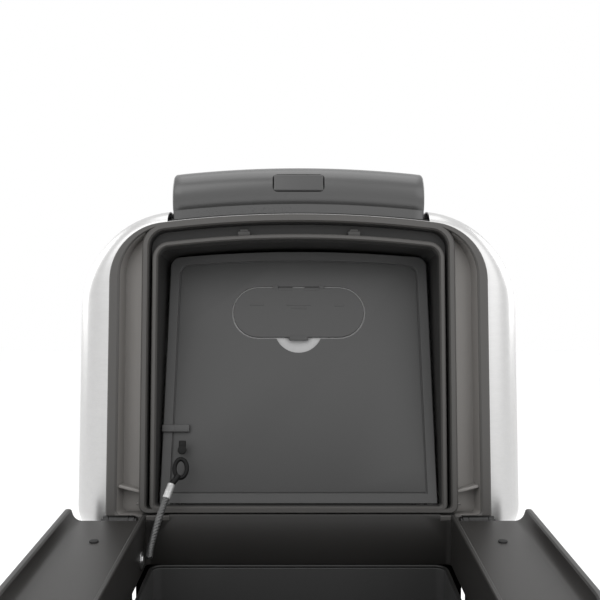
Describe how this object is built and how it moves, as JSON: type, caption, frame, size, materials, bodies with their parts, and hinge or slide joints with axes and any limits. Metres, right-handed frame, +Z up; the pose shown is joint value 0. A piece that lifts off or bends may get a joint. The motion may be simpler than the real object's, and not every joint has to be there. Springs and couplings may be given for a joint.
{
  "type": "trash compactor",
  "caption": "Manual kitchen trash compactor: a steel bin with a lift-out bucket and a hinged lid that holds a hand-driven compaction plate, handle, latch and odour filter.",
  "frame": {"origin": "centre of the footprint on the floor", "axes": "+X to the right of a person facing the bin, +Y to the back, +Z up"},
  "size_m": [0.43, 0.4558, 0.9263],
  "materials": {
    "steel": "fine brushed stainless steel",
    "bright_steel": "zinc-plated steel",
    "black_plastic": "fine-textured black plastic",
    "collar_plastic": "fine-textured warm black plastic",
    "liner_plastic": "fine-textured warm grey plastic",
    "handle_plastic": "satin dark grey plastic",
    "button_plastic": "smooth dark plastic",
    "plate_plastic": "fine-textured dark grey plastic",
    "tray_plastic": "light grey plastic",
    "bucket_plastic": "satin dark grey plastic",
    "filter_foam": "activated-carbon foam",
    "rubber": "soft black rubber",
    "cable": "braided steel cable in a dark sleeve",
    "clear_sleeve": "clear crimp sleeve"
  },
  "bodies": {
    "bin": {"base_plinth": "black_plastic", "rubber_feet": "rubber", "body_shell": "steel", "rear_panel": "black_plastic", "top_collar": "collar_plastic", "collar_bumpers": "rubber", "hinge_brackets": "bright_steel", "hinge_pins": "bright_steel", "stay_anchor": "bright_steel", "stay_cable": "cable", "stay_ferrule": "clear_sleeve", "stay_loop": "black_plastic"},
    "bucket": {"bucket_shell": "bucket_plastic", "bag_ring": "black_plastic"},
    "lid": {"lid_skin": "steel", "lid_liner": "liner_plastic", "lid_deck": "black_plastic", "deck_walls": "black_plastic", "lid_hinge_arms": "bright_steel", "axle_brackets": "bright_steel", "compaction_axle": "bright_steel", "axle_clips": "bright_steel", "channel_clips": "liner_plastic", "latch_keeper": "bright_steel"},
    "handle": {"handle_shell": "handle_plastic", "handle_cover": "black_plastic", "handle_arms": "bright_steel", "handle_end_caps": "handle_plastic", "handle_screws": "bright_steel", "button_spring": "bright_steel"},
    "button": {"release_button": "button_plastic"},
    "bolt": {"latch_bolt": "bright_steel"},
    "plate": {"compaction_plate": "plate_plastic", "plate_frame": "bright_steel", "plate_screws": "bright_steel", "plate_hook": "black_plastic", "return_springs": "bright_steel", "filter_tray": "tray_plastic", "carbon_filter": "filter_foam"},
    "cover": {"filter_cover": "plate_plastic"}
  },
  "joints": [
    {"name": "lid_hinge", "type": "hinge", "parent": "bin", "child": "lid", "pos_m": [0, 0.1475, 0.592], "axis": [-1, 0, 0], "range_deg": [-98.3, 0], "deforming": ["stay_cable", "stay_ferrule", "stay_loop"]},
    {"name": "handle_swing", "type": "hinge", "parent": "lid", "child": "handle", "pos_m": [0, 0.17867, 0.61171], "axis": [1, 0, 0], "range_deg": [-60, 0]},
    {"name": "plate_swing", "type": "hinge", "parent": "lid", "child": "plate", "pos_m": [0, 0.17867, 0.61171], "axis": [-1, 0, 0], "range_deg": [-50, 0]},
    {"name": "bucket_lift", "type": "slide", "parent": "bin", "child": "bucket", "axis": [0, 0, 1], "range_m": [0, 0.57]},
    {"name": "filter_door", "type": "hinge", "parent": "plate", "child": "cover", "pos_m": [0, 0.23176, 0.8066], "axis": [-1, 0, 0], "range_deg": [0, 80]},
    {"name": "button_press", "type": "slide", "parent": "handle", "child": "button", "axis": [0, 0.9252, -0.3795], "range_m": [0, 0.0035], "stiffness_N_per_m": 400, "springref_m": -0.005, "deforming": ["button_spring"]},
    {"name": "bolt_slide", "type": "slide", "parent": "handle", "child": "bolt", "axis": [0, 0.1444, 0.9895], "range_m": [0, 0.0035]}
  ],
  "couplings": [
    {"joint": "bolt_slide", "follows": "button_press", "ratio": 1}
  ]
}
